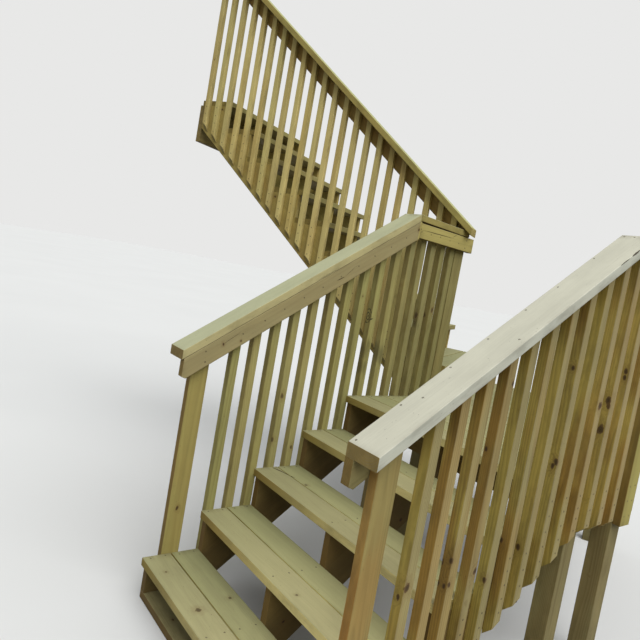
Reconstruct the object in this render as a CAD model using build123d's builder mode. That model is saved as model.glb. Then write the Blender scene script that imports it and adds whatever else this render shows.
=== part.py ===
from build123d import *
import math
import os

# Wooden deck stairs: a lower flight, a landing that turns left, and an upper flight.
# Millimetres, +Z up. The origin is the middle of the back face of the header that
# hangs the top of the stairs. +Y is the way the upper flight climbs.

# Lumber
plank = 38.0
board_width = 140.0
stud_width = 89.0
post_size = 89.0
stringer_depth = 286.0
rim_depth = 184.0
baluster_size = 42.0
upper_baluster_size = 38.0
baluster_length = 1268.0
ripped_width = 82.0

# Gaps between boards side by side, and between boards end to end
board_gap = 5.0
seam = 0.5

# Lower flight; its last tread is level with the landing
lower_rise = 197.0
lower_run = 268.0
lower_treads = 5
lower_width = 1260.0

# Upper flight, which starts a little before the corner of the landing
upper_rise = 203.0
upper_run = 250.0
upper_treads = 9
upper_width = 1200.0
upper_nosing = -22.0
upper_end_gap = 20.0

# Landing
turn = 117.0
landing_length = 495.0
landing_back_length = 270.0
joist_pitch = 400.0
wall_post_place = -740.0

# Guards of the lower flight and the landing: each cap climbs from its foot to its kink
left_foot_place = 20.0
left_foot_top = 1199.0
left_rail_place = 30.0
left_kink_place = 1365.0
left_kink_top = 2083.0
left_cap_fall = 0.054
left_rail_fall = 0.036
right_foot_place = 28.0
right_foot_top = 1194.0
right_kink_place = 1350.0
right_guard_top = 2036.0
rail_clip = 22.0
level_rail_gap = 9.3
rail_past_corner = 27.0
left_newel_place = 91.0
right_newel_place = 101.0
left_baluster_place = 293.5
left_pitch = 106.7
level_baluster_place = 106.0
level_pitch = 86.7
right_baluster_place = 309.0
right_pitch = 108.7
side_baluster_place = 70.0

# Guard of the upper flight
upper_guard_top = 2115.0
upper_cap_foot = -43.0
upper_baluster_place = 73.5
upper_pitch = 100.2

# Values that follow from the sizes above
tread_depth = 2 * board_width + board_gap
lower_overhang = tread_depth - lower_run
upper_overhang = tread_depth - upper_run
landing_top = lower_treads * lower_rise
rim_top = landing_top - plank
upper_top = landing_top + upper_treads * upper_rise
front_x = lower_treads * lower_run
corner_x = front_x + landing_length
upper_back = upper_nosing + (upper_treads - 1) * upper_run + tread_depth
upper_length = upper_back + upper_end_gap
upper_stringer_end = upper_length - plank
upper_slope = upper_rise / upper_run
header_middle = upper_top - plank - stringer_depth / 2

# Each frame has x along its run, y to the left of it and z up from the ground
upper = Plane(
    origin=(-upper_width / 2, -upper_length, -header_middle), x_dir=(0, 1, 0), z_dir=(0, 0, 1)
)
lower_way = upper.x_dir.rotate(Axis.Z, -turn)
lower = Plane(origin=upper.origin - lower_way * corner_x, x_dir=lower_way, z_dir=(0, 0, 1))
outer_corner = lower.from_local_coords(Vector(corner_x, -lower_width, 0))
landing_side = Plane(origin=outer_corner, x_dir=-upper.y_dir, z_dir=(0, 0, 1))
landing_side_length = upper_width + upper.to_local_coords(outer_corner).Y
mitre = Plane(origin=outer_corner, z_dir=lower.x_dir + landing_side.x_dir)


def save(part, label):
    """Label a finished piece and write it."""
    part.label = label
    export_step(part, f"parts/{label}.step")


def side(frame, y):
    """Vertical plane along a frame's x at the given y, with its normal to the right."""
    origin = frame.from_local_coords(Vector(0, y, 0))
    return Plane(origin=origin, x_dir=frame.x_dir, z_dir=-frame.y_dir)


def level(frame, z):
    """Horizontal plane of a frame at height z."""
    origin = frame.from_local_coords(Vector(0, 0, z))
    return Plane(origin=origin, x_dir=frame.x_dir, z_dir=(0, 0, 1))


def strip(frame, y, width, outlines):
    """Pieces with the given side outlines, reaching from y to the right by the width."""
    with BuildPart() as pieces:
        with BuildSketch(side(frame, y)):
            for outline in outlines:
                with BuildLine():
                    Polyline(*outline, close=True)
                make_face()
        extrude(amount=width)
    return pieces.part


def stringer(frame, y, foot_z, first, rise, run, treads, end_x):
    """Saw-tooth stringer: a sloping plank with a seat cut for each tread."""
    riser_x, seat = first
    slope = rise / run
    drop = stringer_depth * math.hypot(1, slope)
    end_seat = seat + slope * (end_x - riser_x)
    heel_x = riser_x + (foot_z - seat + drop) / slope
    steps = [(riser_x + step * run, seat + step * rise) for step in range(treads)]
    with BuildPart() as board:
        with BuildSketch(side(frame, y)):
            with BuildLine():
                Polyline(
                    (riser_x, foot_z),
                    (riser_x, seat),
                    (end_x, end_seat),
                    (end_x, end_seat - drop),
                    (heel_x, foot_z),
                    close=True,
                )
            make_face()
            with Locations(*steps):
                Polygon((0, 0), (run, 0), (run, rise), align=None, mode=Mode.SUBTRACT)
        extrude(amount=plank)
    return board.part


def tread(frame, nosing_x, top, width):
    """Two boards side by side, flat across the stringers."""
    with BuildPart() as boards:
        with BuildSketch(level(frame, top - plank)):
            with Locations((nosing_x, 0), (nosing_x + board_width + board_gap, 0)):
                Rectangle(board_width, width, align=(Align.MIN, Align.MAX))
        extrude(amount=plank)
    return boards.part


def post(frame, x, y, foot, top):
    """Square post whose lowest x and y are given."""
    with BuildPart() as upright:
        with BuildSketch(level(frame, foot)):
            with Locations((x, y)):
                Rectangle(post_size, post_size, align=(Align.MIN, Align.MIN))
        extrude(amount=top - foot)
    return upright.part


def trimmed(piece, plane, keep):
    """What is left of a piece on one side of a plane."""
    with BuildPart() as rest:
        add(piece)
        split(bisect_by=plane, keep=keep)
    return rest.part


def picket(x, width, under, bottom):
    """Outline of an upright between two lines z = bottom(x) and z = under(x)."""
    return [(x, bottom(x)), (x + width, bottom(x + width)), (x + width, under(x + width)), (x, under(x))]


class BentGuard:
    """Side outlines of a guard that climbs to a kink and then falls a little or stays level."""

    def __init__(self, foot, rail_start, kink, cap_fall, rail_fall):
        self.start, foot_top = foot
        self.rail_start = rail_start
        self.kink_x, self.kink_top = kink
        self.cap_fall = cap_fall
        self.rail_fall = rail_fall
        self.slope = (self.kink_top - foot_top) / (self.kink_x - self.start)
        self.stretch = math.hypot(1, self.slope)
        past_kink = plank * (self.stretch - math.hypot(1, cap_fall)) / (self.slope + cap_fall)
        self.bend_x = self.kink_x + past_kink

    def line(self, x, bend_x, bend_z):
        """Line that climbs to a bend and falls after it."""
        return bend_z + min(self.slope * (x - bend_x), self.cap_fall * (bend_x - x))

    def top(self, x):
        """Top of the cap."""
        return self.line(x, self.kink_x, self.kink_top)

    def under(self, x):
        """Underside of the cap."""
        bend_z = self.kink_top + self.slope * (self.bend_x - self.kink_x) - plank * self.stretch
        return self.line(x, self.bend_x, bend_z)

    def foot(self, x):
        """Lower end of a baluster."""
        return self.under(x) - baluster_length

    def cap(self, end_x):
        """Sloping board and the board after it, mitred where they meet."""
        foot = (self.start, self.top(self.start))
        kink = (self.kink_x, self.kink_top)
        bend = (self.bend_x, self.under(self.bend_x))
        sloping = [foot, kink, bend, (self.start, self.under(self.start))]
        after = [
            (self.kink_x + seam, self.top(self.kink_x + seam)),
            (end_x, self.top(end_x)),
            (end_x, self.under(end_x)),
            (self.bend_x + seam, self.under(self.bend_x + seam)),
        ]
        return [sloping, after]

    def rail(self, end_x):
        """Sloping board under the cap with its bottom corner clipped, and the board after it."""
        start = self.rail_start
        depth = stud_width * self.stretch
        bottom = self.under(start) - depth
        sloping = [
            (start, self.under(start)),
            (self.bend_x, self.under(self.bend_x)),
            (self.bend_x, self.under(self.bend_x) - depth),
            (start + rail_clip, bottom + self.slope * rail_clip),
            (start, bottom + rail_clip),
        ]
        start = self.bend_x + seam
        high = self.under(start) - level_rail_gap
        low_end = high - self.rail_fall * (end_x - start)
        after = [(start, high), (end_x, low_end), (end_x, low_end - stud_width), (start, high - stud_width)]
        return [sloping, after]


def upper_cap_top(x):
    """Top of the upper guard's cap, parallel to the flight."""
    return upper_guard_top + upper_slope * x


def upper_cap_under(x):
    """Underside of the upper guard's cap."""
    return upper_cap_top(x) - plank * math.hypot(1, upper_slope)


def upper_baluster_foot(x):
    """Lower end of the upper guard's balusters."""
    return upper_cap_under(x) - baluster_length


def rows(start, end, pitch, size=baluster_size):
    """Places from start, a pitch apart, whose baluster ends before end."""
    count = math.floor((end - size - start) / pitch) + 1
    return [start + pitch * number for number in range(count)]


def balusters(frame, inner_y, outward, places, under, foot, size=baluster_size):
    """Uprights outside the given y, their lower ends slanting up towards the outside."""
    pickets = [picket(x, size, under, foot) for x in places]
    left_y = max(inner_y, inner_y + outward * size)
    uprights = strip(frame, left_y, size, pickets)
    x = places[0]
    along = frame.x_dir + frame.z_dir * (foot(x + 1) - foot(x))
    across = frame.y_dir * outward + frame.z_dir
    lowest = frame.from_local_coords(Vector(x, inner_y, foot(x)))
    slant = Plane(origin=lowest, x_dir=along, z_dir=along.cross(across) * outward)
    return trimmed(uprights, slant, Keep.TOP)


os.makedirs("parts", exist_ok=True)

# Plate on the ground under the lower stringers
with BuildPart() as base_plate:
    with BuildSketch(level(lower, 0)):
        with Locations((lower_overhang, 0)):
            Rectangle(board_width, lower_width, align=(Align.MIN, Align.MAX))
    extrude(amount=plank)
save(base_plate.part, "base_plate")

# Stringers at the edges and the middle of each flight
lower_first = (lower_overhang, lower_rise - plank)
upper_first = (upper_nosing + upper_overhang, landing_top + upper_rise - plank)
for place, share in (("left", 0.0), ("middle", 0.5), ("right", 1.0)):
    lower_y = -share * (lower_width - plank)
    upper_y = -share * (upper_width - plank)
    lower_board = stringer(
        lower, lower_y, plank, lower_first, lower_rise, lower_run, lower_treads, front_x
    )
    upper_board = stringer(
        upper, upper_y, landing_top, upper_first, upper_rise, upper_run, upper_treads, upper_stringer_end
    )
    save(lower_board, f"lower_stringer_{place}")
    save(upper_board, f"upper_stringer_{place}")

# Treads
for step in range(lower_treads):
    boards = tread(lower, step * lower_run, (step + 1) * lower_rise, lower_width)
    save(boards, f"lower_tread_{step + 1}")
for step in range(upper_treads):
    top = landing_top + (step + 1) * upper_rise
    boards = tread(upper, upper_nosing + step * upper_run, top, upper_width)
    save(boards, f"upper_tread_{step + 1}")

# Header across the top ends of the upper stringers
header_high = upper_top - plank
header_outline = [
    (upper_stringer_end, header_high),
    (upper_length, header_high),
    (upper_length, header_high - stringer_depth),
    (upper_stringer_end, header_high - stringer_depth),
]
save(strip(upper, 0, upper_width, [header_outline]), "top_header")

# Outline of the landing in plan: each edge is a point and a direction, with the deck to its right
edges = {
    "front": (lower.from_local_coords(Vector(front_x, 0, 0)), lower.y_dir),
    "left": (lower.origin, lower.x_dir),
    "turn": (upper.origin, upper.x_dir),
    "back": (upper.from_local_coords(Vector(landing_back_length, 0, 0)), -upper.y_dir),
    "wall": (upper.from_local_coords(Vector(0, -upper_width, 0)), -upper.x_dir),
    "side": (outer_corner, upper.y_dir),
    "right": (outer_corner, -lower.x_dir),
}
edge_names = list(edges)


def inset(edge, distance):
    """The edge moved towards the deck."""
    point, way = edge
    return point + Vector(way.Y, -way.X, 0) * distance, way


def corner(number, distance=0.0):
    """Corner between an edge and the one before it, after both move towards the deck."""
    p, d = inset(edges[edge_names[number - 1]], distance)
    q, e = inset(edges[edge_names[number % len(edge_names)]], distance)
    step = ((q.X - p.X) * e.Y - (q.Y - p.Y) * e.X) / (d.X * e.Y - d.Y * e.X)
    return p + d * step


def plan_face(points):
    """Points of the landing's outline as sketch points of a plane through the origin."""
    return [(point.X, point.Y) for point in points]


# Rim joists, mitred at the corners
ground = -header_middle
for number, name in enumerate(edge_names):
    outline = [corner(number), corner(number + 1), corner(number + 1, plank), corner(number, plank)]
    with BuildPart() as rim:
        with BuildSketch(Plane.XY.offset(ground + rim_top - rim_depth)):
            with BuildLine():
                Polyline(*plan_face(outline), close=True)
            make_face()
        extrude(amount=rim_depth)
    save(rim.part, f"landing_rim_{name}")

# Joists along the lower flight, inside the rims
reach = lower_width + landing_side_length
joist_rows = range(1, math.ceil(reach / joist_pitch))
joist_places = [(front_x, joist_pitch * row - lower_width) for row in joist_rows]
with BuildPart() as joists:
    with BuildSketch(Plane.XY.offset(ground + rim_top - rim_depth)):
        with BuildLine():
            Polyline(*plan_face([corner(number, plank) for number in range(len(edge_names))]), close=True)
        make_face()
    extrude(amount=rim_depth)
    with BuildSketch(level(lower, rim_top - rim_depth)):
        with Locations(*joist_places):
            Rectangle(2 * reach, plank, align=(Align.MIN, Align.CENTER))
    extrude(amount=rim_depth, mode=Mode.INTERSECT)
save(joists.part, "landing_joists")

# Deck boards across the joists, cut to the outline; the last lower tread covers the front edge
board_pitch = board_width + board_gap
deck_front = (lower_treads - 1) * lower_run + tread_depth
gap_places = [(deck_front + board_pitch * row, 0) for row in range(math.ceil(reach / board_pitch))]
with BuildPart() as deck:
    with BuildSketch(Plane.XY.offset(ground + rim_top)):
        with BuildLine():
            Polyline(*plan_face([corner(number) for number in range(len(edge_names))]), close=True)
        make_face()
    extrude(amount=plank)
    with BuildSketch(level(lower, rim_top)):
        Rectangle(deck_front, 2 * reach, align=(Align.MIN, Align.CENTER))
        with Locations(*gap_places):
            Rectangle(board_gap, 2 * reach, align=(Align.MIN, Align.CENTER))
    extrude(amount=plank, mode=Mode.SUBTRACT)
save(deck.part, "landing_deck")

# Posts under the landing
rim_foot = rim_top - rim_depth
side_x = upper.to_local_coords(outer_corner).X
post_places = [
    (lower, front_x, -post_size),
    (lower, front_x, -lower_width),
    (lower, corner_x - post_size, -lower_width),
    (upper, 0, -post_size),
    (upper, landing_back_length - post_size, -upper_width),
    (upper, wall_post_place, -upper_width),
    (upper, side_x, -upper_width),
]
uprights = [post(frame, x, y, 0, rim_foot) for frame, x, y in post_places]
with BuildPart() as landing_posts:
    add(uprights)
save(landing_posts.part, "landing_posts")

# Left guard, outside the left stringer; its corner post is ripped to fit the turn
left_foot = (left_foot_place, left_foot_top)
left_kink = (left_kink_place, left_kink_top)
left = BentGuard(left_foot, left_rail_place, left_kink, left_cap_fall, left_rail_fall)
left_rail_end = corner_x + rail_past_corner
save(strip(lower, 0, plank, left.rail(left_rail_end)), "left_guard_rail")
newel = picket(left_newel_place, stud_width, left.under, lambda x: 0)
save(strip(lower, plank, plank, [newel]), "left_guard_newel")
post_place = corner_x - ripped_width
corner_post = strip(lower, plank, plank, [picket(post_place, ripped_width, left.under, left.foot)])
save(trimmed(corner_post, side(upper, 0), Keep.BOTTOM), "left_guard_corner_post")
climbing_places = rows(left_baluster_place, front_x + left_pitch, left_pitch)
level_places = rows(front_x + level_baluster_place, post_place, level_pitch)
climbing = balusters(lower, 0, 1, climbing_places, left.under, left.foot)
beyond_kink = balusters(lower, 0, 1, level_places, left.under, left.foot)
with BuildPart() as left_balusters:
    add(climbing)
    add(beyond_kink)
save(left_balusters.part, "left_guard_balusters")
left_cap = strip(lower, board_width - plank, board_width, left.cap(corner_x))
save(trimmed(left_cap, side(upper, upper_baluster_size), Keep.BOTTOM), "left_guard_cap")

# Right guard, a mirror image, mitred into the guard of the landing's outer side
right_foot = (right_foot_place, right_foot_top)
right = BentGuard(right_foot, right_foot_place, (right_kink_place, right_guard_top), 0, 0)
past_corner = corner_x + board_width
right_rail = strip(lower, plank - lower_width, plank, right.rail(past_corner))
save(trimmed(right_rail, mitre, Keep.BOTTOM), "right_guard_rail")
newel = picket(right_newel_place, stud_width, right.under, lambda x: 0)
save(strip(lower, -lower_width, plank, [newel]), "right_guard_newel")
corner_post = picket(corner_x - stud_width, stud_width, right.under, right.foot)
save(strip(lower, -lower_width, plank, [corner_post]), "right_guard_corner_post")
places = rows(right_baluster_place, corner_x - stud_width, right_pitch)
climbing_places = [x for x in places if x < right_kink_place]
level_places = places[len(climbing_places):]
climbing = balusters(lower, -lower_width, -1, climbing_places, right.under, right.foot)
beyond_kink = balusters(lower, -lower_width, -1, level_places, right.under, right.foot)
with BuildPart() as right_balusters:
    add(climbing)
    add(beyond_kink)
save(right_balusters.part, "right_guard_balusters")
right_cap = strip(lower, plank - lower_width, board_width, right.cap(past_corner))
save(trimmed(right_cap, mitre, Keep.BOTTOM), "right_guard_cap")


def level_board(start, end, top, depth):
    """Outline of a level board."""
    return [(start, top), (end, top), (end, top - depth), (start, top - depth)]


# Guard of the landing's outer side, level with the right guard
side_under = right_guard_top - plank
side_foot = side_under - baluster_length
outline = level_board(-board_width, landing_side_length, side_under - level_rail_gap, stud_width)
side_rail = strip(landing_side, plank, plank, [outline])
save(trimmed(side_rail, mitre, Keep.TOP), "side_guard_rail")
outline = level_board(-board_width, landing_side_length, right_guard_top, plank)
side_cap = strip(landing_side, plank, board_width, [outline])
save(trimmed(side_cap, mitre, Keep.TOP), "side_guard_cap")
side_post_place = landing_side_length - stud_width
outline = level_board(side_post_place, landing_side_length, side_under, baluster_length)
save(strip(landing_side, 0, plank, [outline]), "side_guard_post")
places = rows(side_baluster_place, side_post_place, right_pitch)
uprights = balusters(landing_side, 0, -1, places, lambda x: side_under, lambda x: side_foot)
save(uprights, "side_guard_balusters")

# Guard of the upper flight, outside its left stringer
rail_drop = stud_width * math.hypot(1, upper_slope)
outline = picket(0, upper_length, upper_cap_under, lambda x: upper_cap_under(x) - rail_drop)
save(strip(upper, 0, plank, [outline]), "upper_guard_rail")
places = rows(upper_baluster_place, upper_length, upper_pitch, upper_baluster_size)
uprights = balusters(upper, 0, 1, places, upper_cap_under, upper_baluster_foot, upper_baluster_size)
save(uprights, "upper_guard_balusters")

# Its cap is scribed over the end of the left guard's cap
outline = picket(upper_cap_foot, upper_length - upper_cap_foot, upper_cap_top, upper_cap_under)
sloping_board = strip(upper, board_width - plank, board_width, [outline])
below = picket(left_kink_place, corner_x + board_width - left_kink_place, left.top, lambda x: 0)
left_cap_below = trimmed(
    strip(lower, board_width - plank, board_width, [below]), side(upper, upper_baluster_size), Keep.BOTTOM
)
with BuildPart() as upper_cap:
    add(sloping_board)
    add(left_cap_below, mode=Mode.SUBTRACT)
save(upper_cap.part, "upper_guard_cap")
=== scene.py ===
import math
import random

import bmesh
import bpy
from mathutils import Euler, Matrix, Vector
from mathutils.bvhtree import BVHTree
from mathutils.noise import noise


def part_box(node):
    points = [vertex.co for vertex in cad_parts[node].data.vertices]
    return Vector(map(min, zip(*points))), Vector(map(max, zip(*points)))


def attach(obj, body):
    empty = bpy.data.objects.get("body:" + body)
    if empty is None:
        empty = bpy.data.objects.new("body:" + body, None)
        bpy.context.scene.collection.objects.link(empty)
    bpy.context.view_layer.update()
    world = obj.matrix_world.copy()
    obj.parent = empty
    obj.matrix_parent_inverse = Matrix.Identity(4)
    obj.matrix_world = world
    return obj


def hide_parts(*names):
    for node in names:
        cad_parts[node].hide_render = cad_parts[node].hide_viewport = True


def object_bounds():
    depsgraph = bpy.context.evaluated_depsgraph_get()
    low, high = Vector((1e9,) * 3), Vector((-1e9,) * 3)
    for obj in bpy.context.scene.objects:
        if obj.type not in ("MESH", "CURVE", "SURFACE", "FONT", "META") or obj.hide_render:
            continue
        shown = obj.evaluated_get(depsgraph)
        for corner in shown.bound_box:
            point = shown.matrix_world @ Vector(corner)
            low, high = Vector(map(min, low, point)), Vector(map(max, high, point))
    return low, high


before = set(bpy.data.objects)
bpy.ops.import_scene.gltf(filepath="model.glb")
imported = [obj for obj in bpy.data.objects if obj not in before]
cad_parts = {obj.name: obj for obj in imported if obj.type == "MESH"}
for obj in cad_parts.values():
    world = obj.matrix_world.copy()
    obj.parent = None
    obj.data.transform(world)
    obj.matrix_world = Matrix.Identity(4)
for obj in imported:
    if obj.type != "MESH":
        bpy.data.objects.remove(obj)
cad_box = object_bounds()
scene = bpy.context.scene
rng = random.Random(41)

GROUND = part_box("base_plate")[0].z


# ---------------------------------------------------------------- places
class Flight:
    """A frame with x along a flight's climb, y to the left of it and z up from the ground."""

    def __init__(self, landing_corner, run, angle):
        self.turn = Matrix.Rotation(math.radians(angle), 3, "Z")
        self.corner = landing_corner + self.turn @ Vector((-run, 0, 0))

    def way(self, x, y, z):
        return self.turn @ Vector((x, y, z))

    def point(self, x, y, z):
        """A point given in millimetres."""
        return self.corner + self.turn @ Vector((x / 1000, y / 1000, z / 1000))


LOWER = Flight(Vector((-0.6, -2.283, GROUND)), 1.835, -27)
KINK = 1.365  # x where the left guard turns level


# ---------------------------------------------------------------- colours and node trees
def srgb(red, green, blue):
    """A colour as it looks on the screen, 0 to 255, as linear light."""
    def linear(value):
        value /= 255
        return value / 12.92 if value <= 0.04045 else ((value + 0.055) / 1.055) ** 2.4
    return (linear(red), linear(green), linear(blue), 1)


class Tree:
    """Short ways to add nodes to a material. Its methods give a new node's output."""

    def __init__(self, name):
        self.material = bpy.data.materials.new(name)
        self.material.use_nodes = True
        self.nodes = self.material.node_tree.nodes
        self.links = self.material.node_tree.links
        self.nodes.clear()

    def put(self, socket, value):
        """Links a socket or sets a value. None leaves the socket as it is."""
        if isinstance(value, bpy.types.NodeSocket):
            self.links.new(value, socket)
        elif value is not None:
            socket.default_value = value

    def math(self, operation, a, b=None, c=None, clamp=False):
        node = self.nodes.new("ShaderNodeMath")
        node.operation = operation
        node.use_clamp = clamp
        for socket, value in zip(node.inputs, (a, b, c)):
            self.put(socket, value)
        return node.outputs[0]

    def vector(self, operation, a, b=None, scale=None):
        node = self.nodes.new("ShaderNodeVectorMath")
        node.operation = operation
        self.put(node.inputs[0], a)
        self.put(node.inputs[1], b)
        if scale is not None:
            self.put(node.inputs["Scale"], scale)
        return node.outputs["Value" if operation in ("LENGTH", "DOT_PRODUCT") else "Vector"]

    def join(self, x, y, z):
        node = self.nodes.new("ShaderNodeCombineXYZ")
        for socket, value in zip(node.inputs, (x, y, z)):
            self.put(socket, value)
        return node.outputs[0]

    def parts(self, vector):
        node = self.nodes.new("ShaderNodeSeparateXYZ")
        self.put(node.inputs[0], vector)
        return tuple(node.outputs)

    def attribute(self, name):
        node = self.nodes.new("ShaderNodeAttribute")
        node.attribute_name = name
        return node.outputs["Vector"]

    def noise(self, vector, stretch, detail=2.0, rough=0.5):
        node = self.nodes.new("ShaderNodeTexNoise")
        self.put(node.inputs["Vector"], self.vector("MULTIPLY", vector, stretch))
        node.inputs["Scale"].default_value = 1
        node.inputs["Detail"].default_value = detail
        node.inputs["Roughness"].default_value = rough
        return node.outputs["Fac"]

    def step(self, value, low, high, out_low=0.0, out_high=1.0):
        """A smooth step from low to high."""
        node = self.nodes.new("ShaderNodeMapRange")
        node.interpolation_type = "SMOOTHSTEP"
        ends = {"From Min": low, "From Max": high, "To Min": out_low, "To Max": out_high}
        for name, given in {"Value": value, **ends}.items():
            self.put(node.inputs[name], given)
        return node.outputs["Result"]

    def mix(self, factor, a, b, blend="MIX"):
        node = self.nodes.new("ShaderNodeMix")
        node.data_type = "RGBA"
        node.blend_type = blend
        self.put(node.inputs[0], factor)
        self.put(node.inputs[6], a)
        self.put(node.inputs[7], b)
        return node.outputs[2]

    def surface(self, color, roughness, height, relief, specular=0.25):
        """The shader itself, with a bump of so much relief."""
        shader = self.nodes.new("ShaderNodeBsdfPrincipled")
        self.put(shader.inputs["Base Color"], color)
        self.put(shader.inputs["Roughness"], roughness)
        shader.inputs["Specular IOR Level"].default_value = specular
        bump = self.nodes.new("ShaderNodeBump")
        bump.inputs["Strength"].default_value = 1.0
        bump.inputs["Distance"].default_value = relief
        self.put(bump.inputs["Height"], height)
        self.links.new(bump.outputs[0], shader.inputs["Normal"])
        output = self.nodes.new("ShaderNodeOutputMaterial")
        self.links.new(shader.outputs[0], output.inputs["Surface"])
        return shader


# ---------------------------------------------------------------- wood
SUNNY = LOWER.way(0.05, -0.78, 0.62)  # where the light and the weather come from

# patterns: features per metre along, across and through a board, then noise detail and roughness
FIBRE = ((6, 300, 300), 3, 0.6)
STREAK = ((0.8, 30, 30), 3, 0.6)
CLOUD = ((2.1, 8, 8), 3, 0.55)
BLOTCH = ((5, 14, 14), 5, 0.62)
WOBBLE = ((44, 70, 70), 3, 0.6)
SWIRL = ((1.6, 11, 11), 2)
DRIFT = ((0.9, 1, 1), 1)
SPECKS = ((90, 150, 150), 1)
SPLITS = ((1.1, 55, 55), 2, 0.45)
RUST = ((340, 340, 340), 3, 0.6)
BOARD_SHIFT = 37.0  # moves the patterns from board to board
RING_SHIFT = 91.0  # moves the pith's drift from board to board

# knots at random: the size of a cell with room for one, how they are stretched, and their radius
KNOT_CELL = (0.31, 0.085, 0.24)
KNOT_STRETCH = (0.8, 1.0, 0.28)
KNOT_LEAST, KNOT_RANGE = 0.003, 0.006
MARK_STRETCH = (1, 1, 0.65)  # marks at given places, longer up and down
NO_MARK = 99.0

# growth rings, in metres: their pitch, where the pith may lie and how the rings bend
RING_PITCH, PITCH_RANGE = 0.0052, 0.003
PITH_ASIDE, PITH_DEPTH, PITH_NEAREST, PITH_DRIFT = 0.09, -0.075, -0.012, 0.05
PITH_LEAN = 0.05  # per metre along
RING_SWIRL, ROUND_KNOTS = 0.016, 0.012

# dirt and weather: how far each reaches in metres, and how light the painted shade on undersides
# leaves them
END_REACH, EDGE_REACH, SPLASH_REACH = 0.05, 0.008, 0.3
UNDERSIDE_SHADE = 0.48
RELIEF = 0.001

KNOT_RIM, KNOT_CORE, KNOT_HALO = srgb(118, 88, 54), srgb(40, 28, 20), srgb(112, 84, 44)
KNOT_RINGS = srgb(46, 40, 26)
SPECK = srgb(70, 56, 34)
SPLIT = srgb(52, 38, 22)
SMUDGE = srgb(60, 54, 34)
EDGE_DIRT = srgb(84, 70, 38)
SPLASH = srgb(80, 70, 44)


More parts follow.
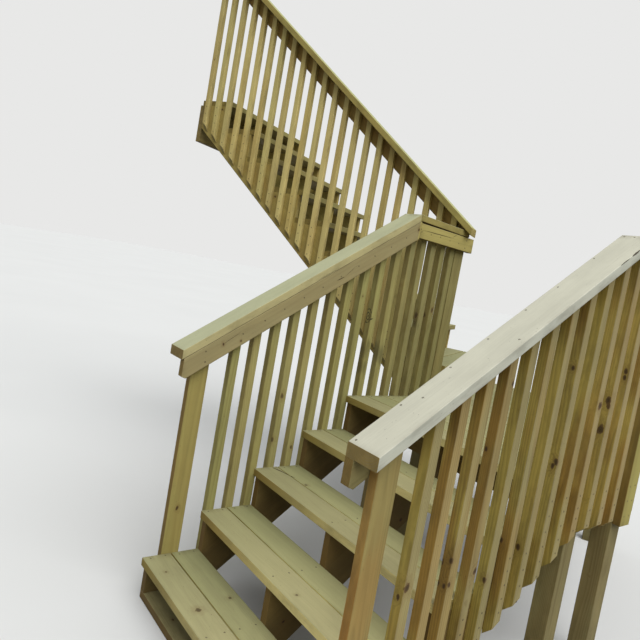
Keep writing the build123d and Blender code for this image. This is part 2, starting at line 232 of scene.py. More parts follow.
class Wood(Tree):
    """A board's patterns, from the point attributes that boards() writes."""

    def __init__(self, name):
        super().__init__(name)
        self.place = self.attribute("grain")
        self.board = self.attribute("board")
        shift = self.vector("SCALE", self.board, scale=BOARD_SHIFT)
        self.shifted = self.vector("ADD", self.place, shift)
        self.spot = self.nodes.new("ShaderNodeTexCoord").outputs["Object"]
        self.normal = self.nodes.new("ShaderNodeNewGeometry").outputs["Normal"]
        slope = self.vector("DOT_PRODUCT", self.normal, self.attribute("axis"))
        self.end = self.step(self.math("ABSOLUTE", slope), 0.5, 0.75)
        self.fibre = self.noise(self.shifted, *FIBRE)
        self.streak = self.noise(self.shifted, *STREAK)
        self.cloud = self.noise(self.shifted, *CLOUD)
        self.blotch = self.noise(self.shifted, *BLOTCH)
        self.wobble = self.noise(self.shifted, *WOBBLE)

    def along_way(self, x, y, z):
        """How far a point lies from the lower flight's corner, along a way in its frame."""
        away = self.vector("SUBTRACT", self.spot, LOWER.corner)
        return self.vector("DOT_PRODUCT", away, tuple(LOWER.way(x, y, z)))

    def mark_reach(self, marks):
        """How far a point is from the nearest of some marks, in radii of that mark."""
        nearest = NO_MARK
        for x, y, z, radius in marks:
            away = self.vector("SUBTRACT", self.spot, LOWER.point(x, y, z))
            away = self.vector("LENGTH", self.vector("MULTIPLY", away, MARK_STRETCH))
            nearest = self.math("MINIMUM", self.math("DIVIDE", away, radius / 1000), nearest)
        return nearest

    def knot_reach(self, knotty):
        """How far a point is from the nearest knot at random, in radii of that knot."""
        cells = self.vector("DIVIDE", self.shifted, KNOT_CELL)
        voronoi = self.nodes.new("ShaderNodeTexVoronoi")
        voronoi.inputs["Scale"].default_value = 1
        self.put(voronoi.inputs["Vector"], cells)
        away = self.vector("SUBTRACT", cells, voronoi.outputs["Position"])
        away = self.vector("MULTIPLY", away, KNOT_CELL)
        away = self.vector("LENGTH", self.vector("MULTIPLY", away, KNOT_STRETCH))
        chance, size, _ = self.parts(voronoi.outputs["Color"])
        there = self.step(chance, 1 - knotty, 1.04 - knotty)
        radius = self.math("MULTIPLY_ADD", size, KNOT_RANGE, KNOT_LEAST)
        radius = self.math("MULTIPLY", there, radius)
        return self.math("DIVIDE", away, self.math("MAXIMUM", radius, 0.0003))

    def late_wood(self, halo):
        """1 in the dark part of each growth ring, round a pith near or outside the board."""
        along, across, through = self.parts(self.place)
        first, second, third = self.parts(self.board)
        drift = self.join(self.math("MULTIPLY_ADD", first, RING_SHIFT, along), second, third)
        drift = self.math("MULTIPLY", self.noise(drift, *DRIFT), PITH_DRIFT)
        aside = self.math("SUBTRACT", first, 0.5)
        pith_across = self.math("MULTIPLY_ADD", aside, PITH_ASIDE, drift)
        lean = self.math("MULTIPLY_ADD", third, PITH_LEAN, -PITH_LEAN / 2)
        lean = self.math("MULTIPLY", along, lean)
        depth = self.math("MULTIPLY_ADD", second, PITH_DEPTH, PITH_NEAREST)
        pith_through = self.math("ADD", depth, lean)
        across = self.math("SUBTRACT", across, pith_across)
        through = self.math("SUBTRACT", through, pith_through)
        from_pith = self.vector("LENGTH", self.join(0.0, across, through))
        bent = self.math("MULTIPLY_ADD", self.noise(self.shifted, *SWIRL), RING_SWIRL, from_pith)
        bent = self.math("MULTIPLY_ADD", halo, ROUND_KNOTS, bent)
        pitch = self.math("MULTIPLY_ADD", third, PITCH_RANGE, RING_PITCH)
        phase = self.math("FRACT", self.math("DIVIDE", bent, pitch))
        return self.math("MULTIPLY", self.step(phase, 0.1, 0.82), self.step(phase, 1.0, 0.84))

    def splits(self, share):
        """1 in the fine splits along the grain, in stretches of the board and not on its ends."""
        line = self.math("ABSOLUTE", self.math("SUBTRACT", self.noise(self.shifted, *SPLITS), 0.5))
        here = self.step(self.cloud, 0.62, 0.68)
        split = self.math("MULTIPLY", self.step(line, 0.0045, 0.001), here)
        split = self.math("MULTIPLY", split, share)
        return self.math("MULTIPLY", split, self.math("SUBTRACT", 1.0, self.end))

    def cracks(self, places):
        """1 in the middle of a crack and 0 beside it. Each is a line, thinner at its ends."""
        deepest = 0.0
        ragged = self.math("ABSOLUTE", self.math("SUBTRACT", self.wobble, 0.5))
        ragged = self.math("MULTIPLY", ragged, 0.004)
        for start, end, width in places:
            origin = LOWER.point(*start)
            run = LOWER.point(*end) - origin
            away = self.vector("SUBTRACT", self.spot, origin)
            share = self.vector("DOT_PRODUCT", away, run)
            share = self.math("DIVIDE", share, run.length_squared, clamp=True)
            beside = self.vector("SUBTRACT", away, self.vector("SCALE", tuple(run), scale=share))
            beside = self.math("ADD", self.vector("LENGTH", beside), ragged)
            taper = self.math("MULTIPLY", share, self.math("SUBTRACT", 1.0, share))
            taper = self.math("MULTIPLY", taper, 4 * width / 1000)
            depth = self.step(self.math("SUBTRACT", beside, taper), 0.0008, -0.0006)
            deepest = self.math("MAXIMUM", depth, deepest)
        return deepest


def wood(name, open_side, sheltered, top, ring=(100, 80, 40), stain=(150, 106, 50), rings=0.2,
         stained=0.3, spread=0.12, greening=0.08, knotty=0.45, splits=0.3, streaks=1.0, hues=0.22,
         knot_tone=0.9, beyond=None, painted_light_at_right=None, marks=(), ringed=(), cracks=(), smudges=()):
    """Weathered treated pine: paler where the weather reaches, browner where it doesn't.

    The first three colours are those of faces in the weather, out of it and on top. ring and stain
    colour the late wood and the patches. beyond is an x of the lower flight and the colour in the
    weather past it, and the argument after it the top and sheltered colours at the flight's right,
    a painted light that makes the boards there look lit. marks and ringed are knots at given
    places, whole or with bare rings. The numbers say how much there is of something: rings and
    stains, boards lighter and greener than others, knots, splits and streaks.
    """
    t = Wood(name)
    along, across, _ = t.parts(t.place)
    half_along, half_across, _ = t.parts(t.attribute("half"))
    first, second, third = t.parts(t.board)
    up = t.parts(t.normal)[2]

    reach = t.math("MINIMUM", t.knot_reach(knotty), t.mark_reach(marks))
    reach = t.math("MULTIPLY", reach, t.math("MULTIPLY_ADD", t.wobble, 1.5, 0.25))
    knot = t.step(reach, 1.1, 0.85)
    halo = t.step(reach, 3.6, 1.0)
    late = t.late_wood(halo)
    split = t.splits(splits)
    if cracks:
        split = t.math("MAXIMUM", split, t.cracks(cracks))

    # the side in the weather, the sheltered side and the top
    weathered = t.step(t.vector("DOT_PRODUCT", t.normal, tuple(SUNNY)), 0.12, 0.6)
    unevenly = t.math("SUBTRACT", t.blotch, 0.5)
    weathered = t.math("MULTIPLY_ADD", unevenly, 0.35, weathered, clamp=True)
    open_color, shade_color, top_color = srgb(*open_side), srgb(*sheltered), srgb(*top)
    if beyond:
        past = t.step(t.along_way(1, 0, 0), beyond[0] - 0.002, beyond[0])
        open_color = t.mix(past, open_color, srgb(*beyond[1]))
    patchy = t.math("MULTIPLY_ADD", second, hues, t.cloud)
    stains = t.step(patchy, 0.38 + 0.55 * hues, 0.66 + 0.55 * hues, 0.0, stained)
    shade_color = t.mix(stains, shade_color, srgb(*stain))
    open_color = t.mix(t.math("MULTIPLY", stains, 0.4), open_color, srgb(*stain))
    # painted light: tops and sheltered faces turn lighter towards the flight's right, as if lit
    # there
    if painted_light_at_right:
        painted_light = t.step(t.math("MULTIPLY_ADD", t.blotch, 0.3, t.along_way(0, -1, 0)), 0.1, 1.2)
        top_color = t.mix(painted_light, top_color, srgb(*painted_light_at_right[0]))
        shade_color = t.mix(painted_light, shade_color, srgb(*painted_light_at_right[1]))
    color = t.mix(weathered, shade_color, open_color)
    color = t.mix(t.step(up, 0.45, 0.75), color, top_color)
    grain = t.math("MULTIPLY", late, t.math("MULTIPLY_ADD", t.streak, 1.6, -0.2, clamp=True))
    color = t.mix(t.math("MULTIPLY", grain, rings), color, srgb(*ring))

    # lighter and darker boards, blotches, streaks and fibres, painted shade on undersides and a
    # green tinge
    tone = t.math("MULTIPLY_ADD", first, spread, 1 - spread / 2)
    tone = t.math("MULTIPLY", tone, t.step(t.blotch, 0.25, 0.75, 1.05, 0.93))
    streaky = t.step(t.streak, 0.25, 0.75, 1 + 0.06 * streaks, 1 - 0.08 * streaks)
    tone = t.math("MULTIPLY", tone, streaky)
    tone = t.math("MULTIPLY", tone, t.math("MULTIPLY_ADD", t.fibre, 0.14, 0.93))
    # painted shade: faces turned downwards are darkened
    tone = t.math("MULTIPLY", tone, t.step(up, -0.6, -0.2, UNDERSIDE_SHADE, 1.0))
    less_red = t.math("MULTIPLY", tone, t.math("MULTIPLY_ADD", third, -greening, 1.0))
    less_blue = t.math("MULTIPLY", tone, t.math("MULTIPLY_ADD", third, -greening * 1.3, 1.0))
    color = t.mix(1.0, color, t.join(less_red, tone, less_blue), "MULTIPLY")

    if smudges:
        soiled = t.math("MULTIPLY_ADD", t.streak, 2.6, t.mark_reach(smudges))
        soiled = t.math("MULTIPLY_ADD", t.blotch, 3.0, soiled)
        color = t.mix(t.step(soiled, 4.1, 3.2, 0.0, 0.55), color, SMUDGE)
    if ringed:
        swept = t.math("MULTIPLY_ADD", t.wobble, 0.9, 0.52)
        swept = t.math("MULTIPLY", t.mark_reach(ringed), swept)
        dark = t.step(t.math("SINE", t.math("MULTIPLY_ADD", swept, 15.0, 0.6)), -0.2, 0.7)
        dark = t.math("MULTIPLY", dark, t.step(swept, 1.25, 1.1, 0.0, 0.9))
        color = t.mix(dark, color, KNOT_RINGS)

    # end grain, knots, specks and splits
    sawn = t.mix(t.math("MULTIPLY", late, 0.5), srgb(*sheltered), srgb(*ring))
    color = t.mix(t.math("MULTIPLY", t.end, 0.5), color, sawn)
    color = t.mix(t.math("MULTIPLY", halo, 0.3 * knot_tone), color, KNOT_HALO)
    waves = t.math("SINE", t.math("MULTIPLY", reach, 16.0))
    core = t.math("MULTIPLY_ADD", waves, 0.15, t.step(reach, 1.05, 0.25, 0.25, 0.9), clamp=True)
    color = t.mix(t.math("MULTIPLY", knot, knot_tone), color, t.mix(core, KNOT_RIM, KNOT_CORE))
    specks = t.step(t.noise(t.shifted, *SPECKS), 0.745, 0.79)
    color = t.mix(t.math("MULTIPLY", specks, 0.35), color, SPECK)
    color = t.mix(t.math("MULTIPLY", split, 0.9), color, SPLIT)

    # dirt at the ends and edges, and what the rain splashes up from the ground
    to_end = t.math("SUBTRACT", half_along, t.math("ABSOLUTE", along))
    near_end = t.math("MULTIPLY", t.step(to_end, END_REACH, 0.0), t.step(t.streak, 0.3, 0.6))
    to_edge = t.math("SUBTRACT", half_across, t.math("ABSOLUTE", across))
    near_edge = t.math("MULTIPLY", t.step(to_edge, EDGE_REACH, 0.0), t.step(t.blotch, 0.4, 0.7))
    color = t.mix(t.math("MULTIPLY", t.math("MAXIMUM", near_end, near_edge), 0.3), color, EDGE_DIRT)
    from_ground = t.math("SUBTRACT", t.parts(t.spot)[2], GROUND)
    low = t.step(from_ground, SPLASH_REACH, 0.0)
    splash = t.math("MULTIPLY", low, t.step(t.blotch, 0.3, 0.75, 0.2, 0.75))
    color = t.mix(t.math("MULTIPLY", splash, 0.5), color, SPLASH)

    height = t.math("MULTIPLY", grain, -0.25)
    for pattern, rise in ((t.fibre, 0.25), (t.streak, 0.3 * streaks), (knot, 0.2), (split, -1.6)):
        height = t.math("MULTIPLY_ADD", pattern, rise, height)
    t.surface(color, t.math("MULTIPLY_ADD", t.fibre, 0.16, 0.68), height, RELIEF)
    return t.material


def metal(name, base, rust):
    """Coated screw steel, browned by the weather."""
    t = Tree(name)
    coordinates = t.nodes.new("ShaderNodeTexCoord").outputs["Object"]
    patches = t.noise(coordinates, *RUST)
    color = t.mix(t.step(patches, 0.4, 0.62), srgb(*base), srgb(*rust))
    shader = t.surface(color, t.step(patches, 0.35, 0.65, 0.45, 0.8), patches, 0.0002, 0.4)
    shader.inputs["Metallic"].default_value = 0.4
    return t.material


# marks: x, y and z in the lower flight's frame, then the radius, in millimetres
RIGHT_KNOTS = (
    (526, -1297, 776, 8), (527, -1262, 753, 7), (526, -1263, 677, 6), (526, -1289, 681, 6),
    (535, -1302, 691, 7), (321, -1302, 723, 11), (309, -1283, 684, 8), (668, -1302, 716, 9),
    (744, -1296, 665, 8), (635, -1271, 1156, 6), (853, -1264, 785, 8), (961, -1274, 745, 9),
    (1070, -1285, 1467, 7), (670, -1302, 1400, 7), (1505, -1287, 1465, 9), (1505, -1287, 1440, 8),
    (1311, -1302, 1318, 12), (1396, -1290, 1340, 12), (1390, -1298, 1312, 10),
    (1396, -1284, 1207, 14), (1070, -1296, 1090, 9), (1070, -1285, 1070, 8),
)
UPPER_KNOTS = ((1297, 1045, 2325, 10),)
LEFT_KNOTS = (
    (629, 0, 979, 9), (745, 0, 696, 7), (615, 1, 741, 9), (1533, 22, 1491, 11),
    (1619, 37, 1496, 12), (1642, 0, 1536, 11),
) + UPPER_KNOTS
LEFT_RINGED = ((1147, 26, 1449, 27), (1533, 22, 1462, 15))
LEFT_SMUDGES = (
    (1160, 26, 1250, 45), (1160, 26, 1150, 40), (1270, 26, 1230, 40), (1533, 22, 1430, 24),
)
NEWEL_KNOTS = ((135, 0, 423, 7),)
TREAD_KNOTS = (
    (57, -150, 197, 6), (73, -459, 197, 13), (238, -430, 197, 8), (318, -776, 395, 6),
    (693, -248, 592, 9),
)
RAIL_KNOTS = ((215, -38, 1240, 5), (307, -38, 1262, 4), (1360, -38, 1992, 6))

# cracks: where each starts and ends, then its width
TREAD_CRACKS = (
    ((640, -4, 592), (669, -89, 592), 5), ((660, -65, 592), (690, -166, 592), 4.5),
    ((690, -166, 592), (720, -330, 592), 1.2),
)
RAIL_CRACKS = (
    ((209, -38, 1236), (294, -38, 1300), 0.8), ((825, -38, 1622), (874, -38, 1650), 2.4),
    ((874, -38, 1650), (949, -38, 1726), 0.7), ((1385, -38, 1996), (1683, -38, 1993), 2.0),
    ((1655, -38, 1995), (1700, -38, 2022), 1.0), ((63, -38, 1190), (170, -38, 1252), 0.8),
)
CAP_CRACKS = (((694, -38, 1605), (829, -38, 1692), 0.8),)
WORN_ARRIS = (
    ((1114, -1361, 1884), (1189, -1361, 1931), 2.0),
    ((1189, -1361, 1931), (1250, -1361, 1972), 4.0),
)

# the treads' lighter colours towards the right are a painted light
tread_wood = wood(
    "treads", (158, 146, 92), (152, 134, 70), (157, 153, 111), rings=0.08, stained=0.2,
    greening=0.05, knotty=0.04, streaks=0.6, painted_light_at_right=((194, 186, 138), (246, 230, 160)),
    marks=TREAD_KNOTS, cracks=TREAD_CRACKS, knot_tone=0.75)
framing_wood = wood(
    "framing", (124, 102, 60), (116, 92, 50), (150, 140, 98), stain=(110, 80, 42), rings=0.22,
    stained=0.5)
upper_framing = wood(
    "upper_framing", (188, 166, 100), (176, 154, 88), (164, 152, 100), rings=0.2, stained=0.4)
newel_wood = wood(
    "newels", (168, 153, 93), (146, 118, 64), (160, 152, 110), rings=0.2, stained=0.35, knotty=0.15,
    marks=NEWEL_KNOTS)
right_newel_wood = wood(
    "right_newel", (154, 139, 86), (192, 154, 84), (160, 152, 110), stain=(168, 118, 56),
    rings=0.25, stained=0.8, knotty=0.15)
corner_wood = wood(
    "corner_post", (144, 131, 86), (150, 136, 86), (160, 152, 110), rings=0.3, stained=0.3,
    knotty=0.2)
post_wood = wood(
    "landing_posts", (132, 121, 84), (160, 145, 98), (150, 146, 104), rings=0.4, stained=0.2,
    greening=0.06, knotty=0.4)
landing_framing = wood(
    "landing_framing", (150, 136, 88), (146, 128, 78), (150, 140, 98), rings=0.25, stained=0.3)
right_balusters = wood(
    "right_balusters", (158, 143, 101), (192, 168, 88), (160, 150, 104), stain=(162, 120, 58),
    rings=0.42, stained=0.8, spread=0.22, greening=0.05, knotty=0.25, marks=RIGHT_KNOTS, hues=0.3)
left_balusters = wood(
    "left_balusters", (161, 153, 98), (170, 158, 98), (156, 148, 104), stain=(148, 122, 66),
    rings=0.3, stained=0.4, knot_tone=0.75, spread=0.18, greening=0.05, knotty=0.25,
    marks=LEFT_KNOTS, ringed=LEFT_RINGED, smudges=LEFT_SMUDGES, beyond=(KINK, (144, 138, 91)))
upper_balusters = wood(
    "upper_balusters", (222, 202, 134), (207, 188, 120), (198, 184, 122), stain=(176, 138, 66),
    rings=0.25, stained=0.5, spread=0.18, greening=0.04, knotty=0.3, marks=UPPER_KNOTS)
upper_rail = wood(
    "upper_rail", (182, 150, 92), (174, 140, 80), (170, 156, 104), rings=0.25, stained=0.5)
right_cap = wood(
    "right_cap", (198, 198, 184), (160, 136, 78), (209, 205, 187), ring=(150, 140, 108), rings=0.08,
    stained=0.15, spread=0.03, greening=0.02, knotty=0.0, splits=0.1, streaks=0.1,
    cracks=WORN_ARRIS)
left_cap = wood(
    "left_cap", (186, 175, 128), (148, 126, 74), (180, 180, 146), ring=(140, 128, 90), rings=0.08,
    stained=0.15, spread=0.05, greening=0.02, knotty=0.0, splits=0.15, streaks=0.2,
    beyond=(KINK, (160, 148, 86)), cracks=CAP_CRACKS)
upper_cap = wood(
    "upper_cap", (184, 166, 102), (178, 158, 92), (188, 182, 136), rings=0.2, stained=0.3,
    spread=0.06)
left_rail = wood(
    "left_rail", (158, 146, 105), (148, 126, 74), (160, 150, 110), rings=0.15, stained=0.15,
    spread=0.04, greening=0.02, knotty=0.0, splits=0.0, streaks=0.6, beyond=(KINK, (178, 166, 100)),
    marks=RAIL_KNOTS, cracks=RAIL_CRACKS)
right_rail = wood(
    "right_rail", (150, 138, 92), (146, 122, 68), (160, 150, 110), rings=0.25, stained=0.4)
steel = metal("screw_steel", (84, 76, 58), (58, 42, 28))

# word, slot and material: a node takes the first line whose word is in its name
STYLES = (
    ("upper_guard_balusters", "balusters", upper_balusters),
    ("upper_guard_rail", "rail_boards", upper_rail),
    ("upper_guard_cap", "rail_caps", upper_cap),
    ("left_guard_balusters", "balusters", left_balusters),
    ("left_guard_rail", "rail_boards", left_rail),
    ("left_guard_cap", "rail_caps", left_cap),
    ("balusters", "balusters", right_balusters),
    ("cap", "rail_caps", right_cap),
    ("rail", "rail_boards", right_rail),
    ("tread", "walking_boards", tread_wood),
    ("landing_deck", "walking_boards", tread_wood),
    ("upper_stringer", "framing", upper_framing),
    ("stringer", "framing", framing_wood),
    ("rim", "framing", landing_framing),
    ("joists", "framing", landing_framing),
    ("header", "framing", landing_framing),
    ("base_plate", "framing", framing_wood),
    ("landing_posts", "posts", post_wood),
    ("right_guard_newel", "posts", right_newel_wood),
    ("left_guard_corner_post", "posts", corner_wood),
    ("", "posts", newel_wood),
)


# ---------------------------------------------------------------- boards
EASED = 0.0034  # how far the long edges are rounded
SAWN = 0.0009  # how far the sawn edges are broken
CUT_PITCH = 0.16  # about how far apart a board has edges round it, so that it can bend
BOW, BOW_PER_METRE = 0.0011, 0.0009  # at most, and per metre of half a board's length
CUP, CUPS_FROM = 0.0006, 0.06  # at most, and the half width from which a board cups
UNEVEN, UNEVEN_PER_METRE = 0.0004, 7  # how rough a face is, and how often


def flat_faces(mesh):
    """The CAD mesh with its corners joined and its flat faces whole."""
    bm = bmesh.new()
    bm.from_mesh(mesh)
    bmesh.ops.remove_doubles(bm, verts=bm.verts, dist=1e-5)
    bmesh.ops.dissolve_limit(bm, angle_limit=math.radians(0.5), verts=bm.verts, edges=bm.edges)
    return bm


def separate(bm):
    """Each solid of a mesh as a mesh of its own."""
    left = set(bm.verts)
    solids = []
    while left:
        group = {left.pop()}
        front = list(group)
        while front:
            vertex = front.pop()
            for edge in vertex.link_edges:
                other = edge.other_vert(vertex)
                if other not in group:
                    group.add(other)
                    front.append(other)
        left -= group
        solids.append(group)
    solids.sort(key=lambda group: tuple(round(min(v.co[i] for v in group), 4) for i in range(3)))
    pieces = []
    for group in solids:
        piece = bmesh.new()
        copies = {}
        for vertex in sorted(group, key=lambda vertex: vertex.index):
            copies[vertex] = piece.verts.new(vertex.co)
        faces = {face for vertex in group for face in vertex.link_faces}
        for face in sorted(faces, key=lambda face: face.index):
            piece.faces.new([copies[vertex] for vertex in face.verts])
        bmesh.ops.recalc_face_normals(piece, faces=piece.faces)
        pieces.append(piece)
    return pieces


def board_axes(bm):
    """The way of the grain, the way across and the way through a board."""
    longest = max(bm.edges, key=lambda edge: round(edge.calc_length(), 4))
    along = (longest.verts[1].co - longest.verts[0].co).normalized()
    if along[max(range(3), key=lambda i: abs(along[i]))] < 0:
        along.negate()
    faces = [face for face in bm.faces if abs(face.normal.dot(along)) < 0.2]
    widest = max(faces, key=lambda face: round(face.calc_area(), 5))
    through = (widest.normal - along * widest.normal.dot(along)).normalized()
    across = through.cross(along).normalized()
    return along, across, through


def eased(bm, along):
    """The board with its long edges rounded as milled and its sawn edges barely broken."""
    weight = bm.edges.layers.float.new("bevel_weight_edge")
    for edge in bm.edges:
        if len(edge.link_faces) != 2 or edge.calc_face_angle_signed() <= math.radians(8):
            continue
        way = (edge.verts[1].co - edge.verts[0].co).normalized()
        beside = all(abs(face.normal.dot(along)) < 0.1 for face in edge.link_faces)
        milled = abs(way.dot(along)) > 0.995 and beside
        edge[weight] = 1.0 if milled else SAWN / EASED
    mesh = bpy.data.meshes.new("work")
    bm.to_mesh(mesh)
    bm.free()
    holder = bpy.data.objects.new("work", mesh)
    scene.collection.objects.link(holder)
    bevel = holder.modifiers.new("eased", "BEVEL")
    bevel.width = EASED
    bevel.segments = 3
    bevel.limit_method = "WEIGHT"
    bevel.offset_type = "OFFSET"
    done = bmesh.new()
    done.from_object(holder, bpy.context.evaluated_depsgraph_get())
    bpy.data.objects.remove(holder)
    bpy.data.meshes.remove(mesh)
    return done


def crosscut(bm, along, low, high):
    """Extra edges round the board, so that it can bend."""
    count = int((high - low) / CUT_PITCH)
    for number in range(1, count):
        place = low + (high - low) * number / count
        geometry = bm.verts[:] + bm.edges[:] + bm.faces[:]
        bmesh.ops.bisect_plane(bm, geom=geometry, dist=1e-6, plane_co=along * place, plane_no=along)


def boards(node):
    """A CAD node's finished boards: eased edges, a slight bow and cup, and what the grain needs."""
    result = bmesh.new()
    places[node] = []
    names = ("grain", "board", "half", "axis")
    layers = [result.verts.layers.float_vector.new(name) for name in names]
    source = flat_faces(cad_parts[node].data)
    for number, piece in enumerate(separate(source)):
        axes = board_axes(piece)
        spans = [[vertex.co.dot(axis) for vertex in piece.verts] for axis in axes]
        low = [min(span) for span in spans]
        high = [max(span) for span in spans]
        middle = [(a + b) / 2 for a, b in zip(low, high)]
        half = Vector([(b - a) / 2 for a, b in zip(low, high)])
        center = sum((axis * m for axis, m in zip(axes, middle)), Vector())
        places[node].append((axes, center, half))
        piece = eased(piece, axes[0])
        crosscut(piece, axes[0], low[0], high[0])
        luck = Vector((rng.random(), rng.random(), rng.random()))
        if "lower_tread" in node:
            luck.z = 0.05 + 0.85 * number  # the back board of a tread is the greener one
        bow = min(BOW, BOW_PER_METRE * half.x) * (luck.x - 0.5) * 2
        cup = CUP * (luck.y - 0.5) * 2 if half.y > CUPS_FROM else 0.0
        copies = {}
        for vertex in piece.verts:
            local = Vector([vertex.co.dot(axis) - m for axis, m in zip(axes, middle)])
            bowed = bow * (math.cos(local.x / half.x * math.pi / 2) - 0.5)
            cupped = cup * (local.y / half.y) ** 2
            rough = UNEVEN * noise(vertex.co * UNEVEN_PER_METRE + luck * 20)
            moved = vertex.co + axes[2] * (bowed + cupped + rough) + axes[1] * rough
            inside = [min(max(moved[i], cad_box[0][i]), cad_box[1][i]) for i in range(3)]
            copy = result.verts.new(inside)
            for layer, value in zip(layers, (local, luck, half, axes[0])):
                copy[layer] = value
            copies[vertex] = copy
        for face in piece.faces:
            new = result.faces.new([copies[vertex] for vertex in face.verts])
            new.smooth = True
        piece.free()
    source.free()
    return result


def show(bm, name, material):
    """The mesh as a visible piece that rides on the stairs."""
    mesh = bpy.data.meshes.new(name)
    bm.to_mesh(mesh)
    bm.free()
    mesh.materials.append(material)
    piece = bpy.data.objects.new(name, mesh)
    scene.collection.objects.link(piece)
    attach(piece, "root")
    return piece


places = {}  # each node's boards: the axes, the middle and the half size
dressed = {}
for node in sorted(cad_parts):
    slot, material = next((slot, material) for word, slot, material in STYLES if word in node)
    piece = show(boards(node), node + "_boards", material)
    weighted = piece.modifiers.new("flat", "WEIGHTED_NORMAL")
    weighted.weight = 100
    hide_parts(node)
    dressed[node] = piece


# ---------------------------------------------------------------- screws
# a head's rings from the middle out: radius, rise, and how far its six points reach
HEAD = (
    (0.0015, -0.0008, 0.2), (0.0018, 0.0002, 0.2), (0.0032, 0.0005, 0), (0.0039, 0.0001, 0),
    (0.0033, -0.002, 0),
)
HEAD_SIDES = 12
HEAD_TOP = 0.0006  # how far a head rises, to keep it inside the CAD box
PROBE_STEP = 0.006  # how close to each other the rays are that look for what carries a board
PROBE_DEPTH = 0.002  # how far inside the board they start
PROBE_LENGTH = 0.006
LEAST_CONTACT = 0.025  # a shorter contact gets no screw
END_MARGIN = 0.02  # from the end of a contact to its first screw
RAY_START = 0.02  # how far outside a board the rays start that find its finished face
OFF_LINE, OFF_PLACE = 0.002, 0.003  # how far a screw may sit from its place, across and along

# the right cap's screws, x and y in the lower flight's frame, in millimetres
CAP_SCREWS = (
    (42, -1241), (205, -1237), (403, -1237), (570, -1237), (758, -1235), (924, -1241),
    (1147, -1235), (1338, -1241), (1339, -1282), (258, -1272), (1530, -1240), (1715, -1240),
    (604, -1335),
)
ABOVE_CAP = 3000


def add_screw(bm, place, normal, roll):
    """A flat screw head with a six-pointed recess, set in the wood."""
    top = place + normal * HEAD_TOP
    if any(not cad_box[0][i] <= top[i] <= cad_box[1][i] for i in range(3)):
        return
    side = Matrix.Rotation(roll, 3, normal) @ normal.orthogonal().normalized()
    other = normal.cross(side)
    rings = []
    for radius, rise, star in HEAD:
        ring = []
        for number in range(HEAD_SIDES):
            angle = math.tau * number / HEAD_SIDES
            reach = radius * (1 + (star if number % 2 else -star))
            spot = place + side * math.cos(angle) * reach + other * math.sin(angle) * reach
            ring.append(bm.verts.new(spot + normal * rise))
        rings.append(ring)
    for inner, outer in zip(rings, rings[1:]):
        for number in range(HEAD_SIDES):
            following = (number + 1) % HEAD_SIDES
            bm.faces.new((inner[number], outer[number], outer[following], inner[following]))
    bm.faces.new(rings[0])
    bm.faces.new(rings[-1][::-1])


def surface_of(meshes):
    """Something to cast rays at."""
    points, faces = [], []
    for mesh in meshes:
        first = len(points)
        points.extend(vertex.co.copy() for vertex in mesh.vertices)
        faces.extend([first + index for index in polygon.vertices] for polygon in mesh.polygons)
    return BVHTree.FromPolygons(points, faces)


def nodes_with(*words):
    """The CAD nodes with any of some words in their names."""
    return [name for name in sorted(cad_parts) if any(word in name for word in words)]


def contacts(carriers, line, along, into, depth, half_length):
    """The stretches of a line on a board's face where a carrier lies behind it."""
    runs, run = [], []
    for number in range(int(2 * half_length / PROBE_STEP)):
        place = -half_length + (number + 0.5) * PROBE_STEP
        start = line + along * place + into * (depth - PROBE_DEPTH)
        if carriers.ray_cast(start, into, PROBE_LENGTH)[0] is not None:
            run.append(place)
        elif run:
            runs.append(run)
            run = []
    if run:
        runs.append(run)
    return [(run[0] - PROBE_STEP / 2, run[-1] + PROBE_STEP / 2) for run in runs]


def spaced(low, high, spacing):
    """Places for the screws of one stretch."""
    low, high = low + END_MARGIN, high - END_MARGIN
    amount = max(1, round((high - low) / spacing) + 1) if high > low else 1
    shares = [number / (amount - 1) for number in range(amount)] if amount > 1 else [0.5]
    return [low + (high - low) * share for share in shares]


def screws_through(bm, node, carrier_words, offsets, spacing):
    """Screws through each board of a node wherever it lies against what carries it."""
    names = [name for name in nodes_with(*carrier_words) if name != node]
    carriers = surface_of([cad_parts[name].data for name in names])
    face = surface_of([dressed[node].data])

    def screw_line(line, along, sideways, into, depth, half_length):
        for low, high in contacts(carriers, line, along, into, depth, half_length):
            if high - low < LEAST_CONTACT:
                continue
            for place in spaced(low, high, spacing):
                place += rng.uniform(-OFF_PLACE, OFF_PLACE)
                aside = rng.uniform(-OFF_LINE, OFF_LINE)
                start = line + along * place + sideways * aside - into * (depth + RAY_START)
                spot, normal, _, _ = face.ray_cast(start, into, 2 * RAY_START)
                if spot is not None and normal.dot(into) < -0.8:
                    add_screw(bm, spot, normal, rng.uniform(0, math.tau))

    for (along, across, through), center, half in places[node]:
        sides = ((through, half.z, across, half.y), (across, half.y, through, half.z))
        for way, depth, sideways, reach in sides:
            for into in (way, -way):
                for offset in offsets:
                    line = center + sideways * reach * offset
                    screw_line(line, along, sideways, into, depth, half.x)


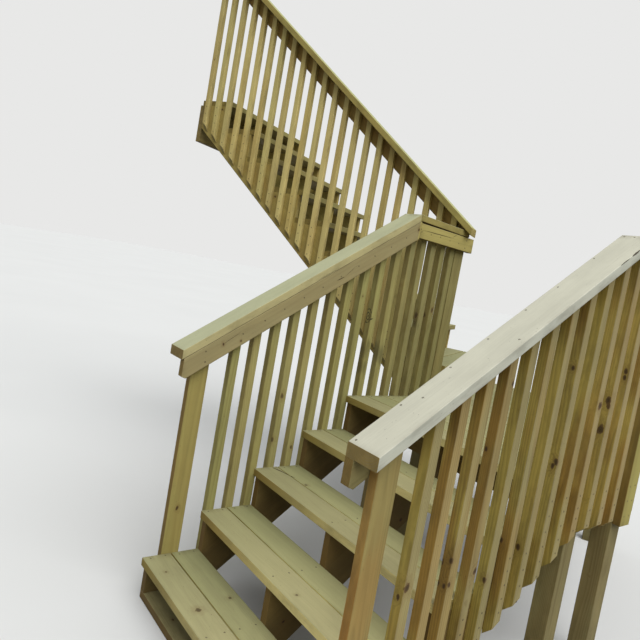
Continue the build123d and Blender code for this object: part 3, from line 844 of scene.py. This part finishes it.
def add_screws():
    lower, upper, landing, guards = (bmesh.new() for _ in range(4))
    for node in nodes_with("lower_tread"):
        screws_through(lower, node, ("lower_stringer",), (-0.55, 0.55), 0.2)
    for node in nodes_with("upper_tread"):
        screws_through(upper, node, ("upper_stringer",), (-0.55, 0.55), 0.2)
    screws_through(landing, "landing_deck", ("landing_joists", "landing_rim"), (-0.6, 0.6), 0.2)
    for node in nodes_with("balusters"):
        screws_through(guards, node, ("stringer", "rim"), (0.0,), 0.06)
    for node in nodes_with("newel", "corner_post", "guard_post"):
        screws_through(guards, node, ("stringer", "rim"), (-0.5, 0.5), 0.09)
    for node in nodes_with("guard_rail"):
        screws_through(guards, node, ("newel", "corner_post", "guard_post"), (-0.5, 0.5), 0.2)
        screws_through(guards, node, (node.replace("rail", "balusters"),), (0.1,), 0.2)
    for node in ("left_guard_cap", "side_guard_cap", "upper_guard_cap"):
        screws_through(guards, node, ("guard_rail",), (0.0,), 0.23)
    cap = surface_of([dressed["right_guard_cap"].data])
    for x, y in CAP_SCREWS:
        spot, normal, _, _ = cap.ray_cast(LOWER.point(x, y, ABOVE_CAP), Vector((0, 0, -1)))
        if spot is not None:
            add_screw(guards, spot, normal, rng.uniform(0, math.tau))
    for name, bm in (("lower", lower), ("upper", upper), ("landing", landing), ("guard", guards)):
        show(bm, name + "_screws", steel)


add_screws()


# ---------------------------------------------------------------- floor, light and camera
FLOOR_REACH = 60  # metres
FLOOR_SEEN = (srgb(221, 221, 219), srgb(227, 227, 225))
FLOOR_LIGHTING = srgb(118, 118, 116)
SKY_SEEN = srgb(232, 232, 231)
SKY_COLOR = (0.95, 0.98, 1.0, 1)
SKY_AT_HORIZON, SKY_OVERHEAD = 0.26, 0.66  # how strong its light is
KEY_FROM = LOWER.way(-0.08, -0.66, 0.75)
KEY_STRENGTH, KEY_SPREAD = 2.4, 60  # the spread in degrees


def seen_or_lighting(nodes, links):
    """1 where the camera, a mirror or glass sees a backdrop, 0 where it only lights the object."""
    path = nodes.new("ShaderNodeLightPath")
    factor = path.outputs["Is Camera Ray"]
    for name in ("Is Glossy Ray", "Is Transmission Ray"):
        either = nodes.new("ShaderNodeMath")
        either.operation = "MAXIMUM"
        links.new(factor, either.inputs[0])
        links.new(path.outputs[name], either.inputs[1])
        factor = either.outputs[0]
    return factor


def add_floor():
    """A floor that looks pale and throws less light back than it looks."""
    mesh = bpy.data.meshes.new("floor")
    sides = ((-1, -1), (1, -1), (1, 1), (-1, 1))
    corners = [(x * FLOOR_REACH, y * FLOOR_REACH, GROUND) for x, y in sides]
    mesh.from_pydata(corners, [], [(0, 1, 2, 3)])
    t = Tree("floor")
    coordinates = t.nodes.new("ShaderNodeTexCoord").outputs["Object"]
    cloud = t.noise(coordinates, (0.5, 0.5, 0.5), 2)
    shown = t.mix(seen_or_lighting(t.nodes, t.links), FLOOR_LIGHTING, t.mix(cloud, *FLOOR_SEEN))
    t.surface(shown, 0.9, cloud, RELIEF, 0.1)
    mesh.materials.append(t.material)
    floor = bpy.data.objects.new("floor", mesh)
    scene.collection.objects.link(floor)


def add_sky():
    """A plain studio: pale to look at, and a soft light from above."""
    world = bpy.data.worlds.new("studio")
    world.use_nodes = True
    nodes, links = world.node_tree.nodes, world.node_tree.links
    nodes.clear()
    light = nodes.new("ShaderNodeBackground")
    light.inputs["Color"].default_value = SKY_COLOR
    height = nodes.new("ShaderNodeSeparateXYZ")
    links.new(nodes.new("ShaderNodeTexCoord").outputs["Generated"], height.inputs[0])
    overhead = nodes.new("ShaderNodeMapRange")
    ends = {"From Min": 0.0, "From Max": 0.9, "To Min": SKY_AT_HORIZON, "To Max": SKY_OVERHEAD}
    for name, value in ends.items():
        overhead.inputs[name].default_value = value
    links.new(height.outputs[2], overhead.inputs["Value"])
    links.new(overhead.outputs[0], light.inputs["Strength"])
    seen = nodes.new("ShaderNodeBackground")
    seen.inputs["Color"].default_value = SKY_SEEN
    seen.inputs["Strength"].default_value = 1.0
    mixer = nodes.new("ShaderNodeMixShader")
    output = nodes.new("ShaderNodeOutputWorld")
    links.new(seen_or_lighting(nodes, links), mixer.inputs[0])
    links.new(light.outputs[0], mixer.inputs[1])
    links.new(seen.outputs[0], mixer.inputs[2])
    links.new(mixer.outputs[0], output.inputs[0])
    scene.world = world


def add_key():
    """A wide, soft light from the side of the right guard."""
    data = bpy.data.lights.new("key", "SUN")
    data.energy = KEY_STRENGTH
    data.angle = math.radians(KEY_SPREAD)
    key = bpy.data.objects.new("key", data)
    key.rotation_euler = KEY_FROM.to_track_quat("Z", "Y").to_euler()
    scene.collection.objects.link(key)


def add_camera():
    """The photograph's camera, fitted to the stairs' edges."""
    data = bpy.data.cameras.new("camera")
    data.sensor_width = 36
    data.lens = 32.921
    data.shift_x = -0.0021
    data.shift_y = -0.0230
    data.clip_end = 200
    eye = bpy.data.objects.new("camera", data)
    eye.location = (-4.35904, -3.14902, -0.943)
    angles = (86.10448, -10.0957, -63.79927)
    eye.rotation_euler = Euler([math.radians(angle) for angle in angles], "XYZ")
    scene.collection.objects.link(eye)
    scene.camera = eye


add_floor()
add_sky()
add_key()
add_camera()
scene.view_settings.view_transform = "Standard"
